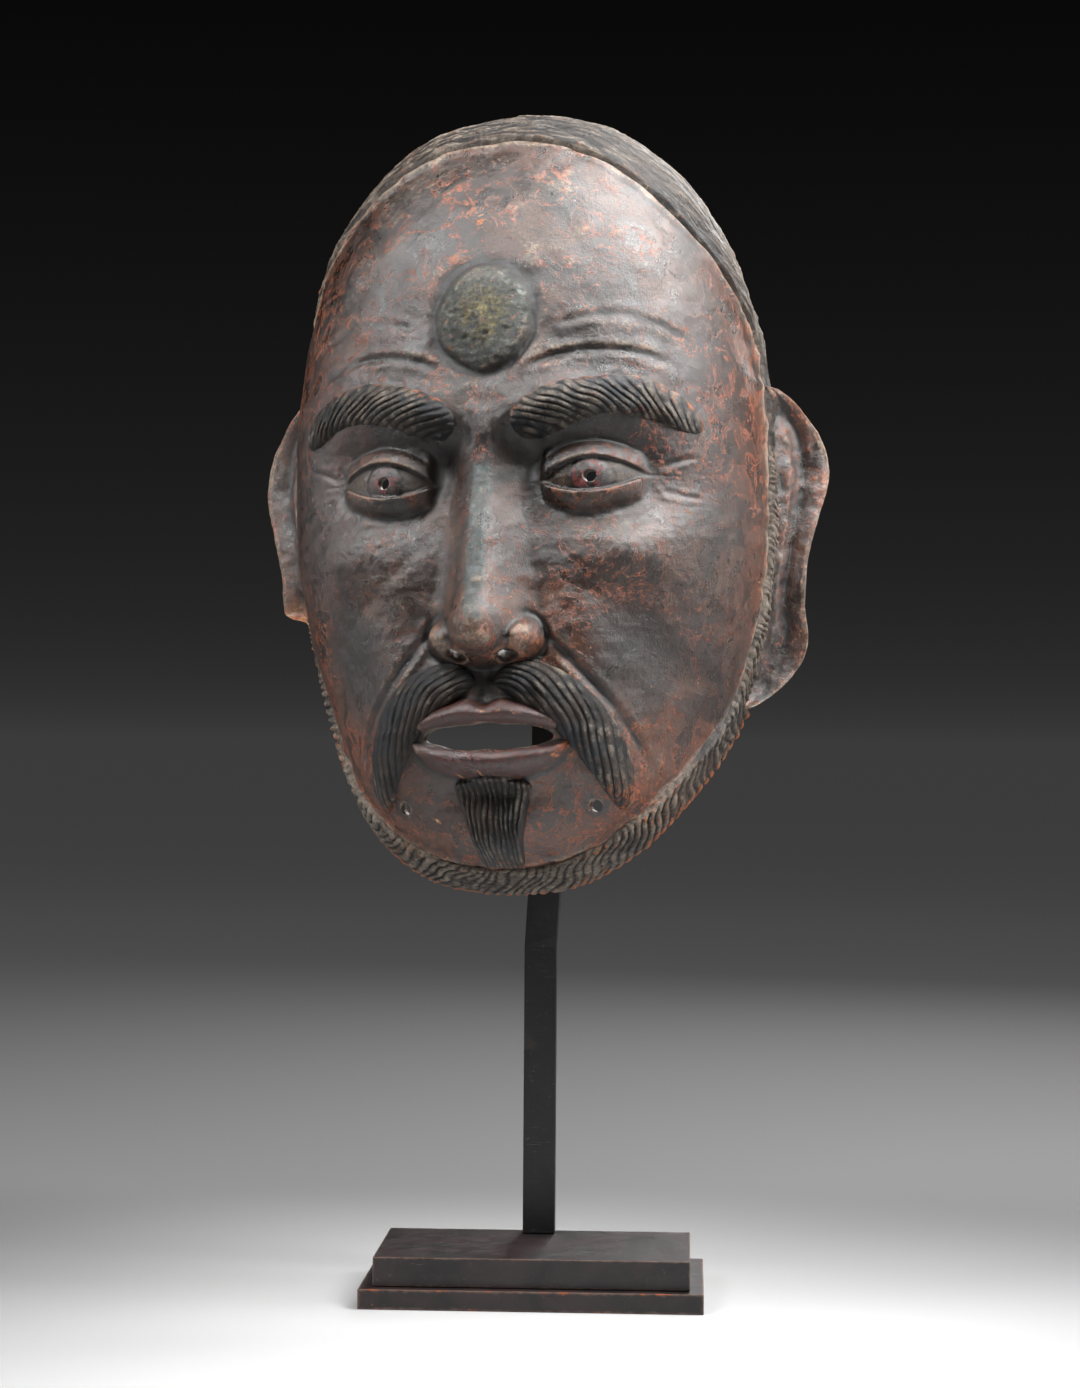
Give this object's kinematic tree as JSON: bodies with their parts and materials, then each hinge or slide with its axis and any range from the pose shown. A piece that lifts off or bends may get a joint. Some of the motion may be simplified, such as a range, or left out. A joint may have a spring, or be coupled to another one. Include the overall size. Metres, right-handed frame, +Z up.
{
  "type": "papier-mache mask",
  "caption": "Bearded papier-mache dance mask with carved brows, moustache and beard fringe, long ears and a forehead boss, resting on a black steel bar stand with a stepped foot.",
  "frame": {"origin": "centre of the underside of the stand's lower plate", "axes": "+Z up, -Y to the front, where the mask looks, +X to the right as seen from the front"},
  "size_m": [0.252, 0.1736, 0.5139],
  "materials": {
    "lacquered_papier_mache": "worn dark brown lacquer over orange-red underpaint, semi-gloss",
    "blackened_bar": "black patinated steel, satin",
    "blackened_upper_plate": "black patinated steel with a dusty purple-brown sheen, satin",
    "blackened_lower_plate": "black patinated steel with worn coppery edges, satin"
  },
  "bodies": {
    "root": {"mask": "lacquered_papier_mache", "stand_bar": "blackened_bar", "stand_upper_plate": "blackened_upper_plate", "stand_lower_plate": "blackened_lower_plate"}
  },
  "joints": []
}
